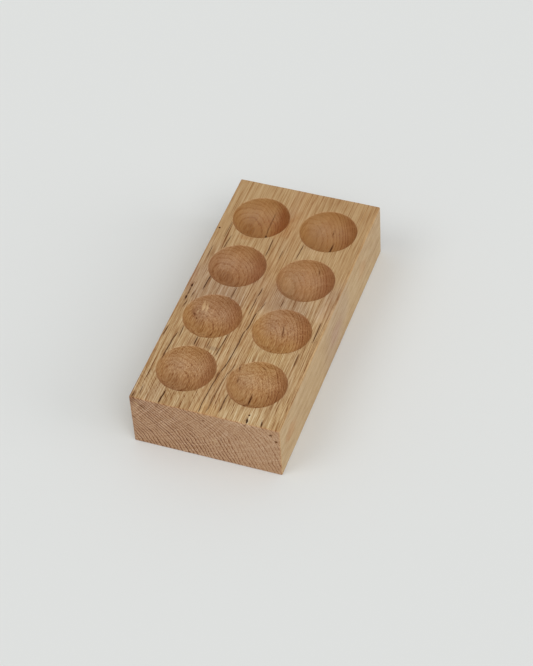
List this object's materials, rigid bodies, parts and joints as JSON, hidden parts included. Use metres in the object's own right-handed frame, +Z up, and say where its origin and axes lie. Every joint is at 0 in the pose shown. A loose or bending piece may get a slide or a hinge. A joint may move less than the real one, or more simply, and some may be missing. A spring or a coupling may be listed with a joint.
{
  "type": "marble board",
  "caption": "Solid oak block with two columns of round-bottomed hollows in its top face, each of which seats one marble; it stands on its flat underside.",
  "frame": {"origin": "centre of the underside, on the surface that the board stands on", "axes": "+Z up out of the top face, +Y along the length and the grain, +X across the width"},
  "size_m": [0.084, 0.175, 0.0355],
  "materials": {
    "oak": "bare sanded oak with a trace of oil: matt, with open pores, a few drying checks and pin holes"
  },
  "bodies": {
    "root": {"oak_board": "oak"}
  },
  "joints": []
}
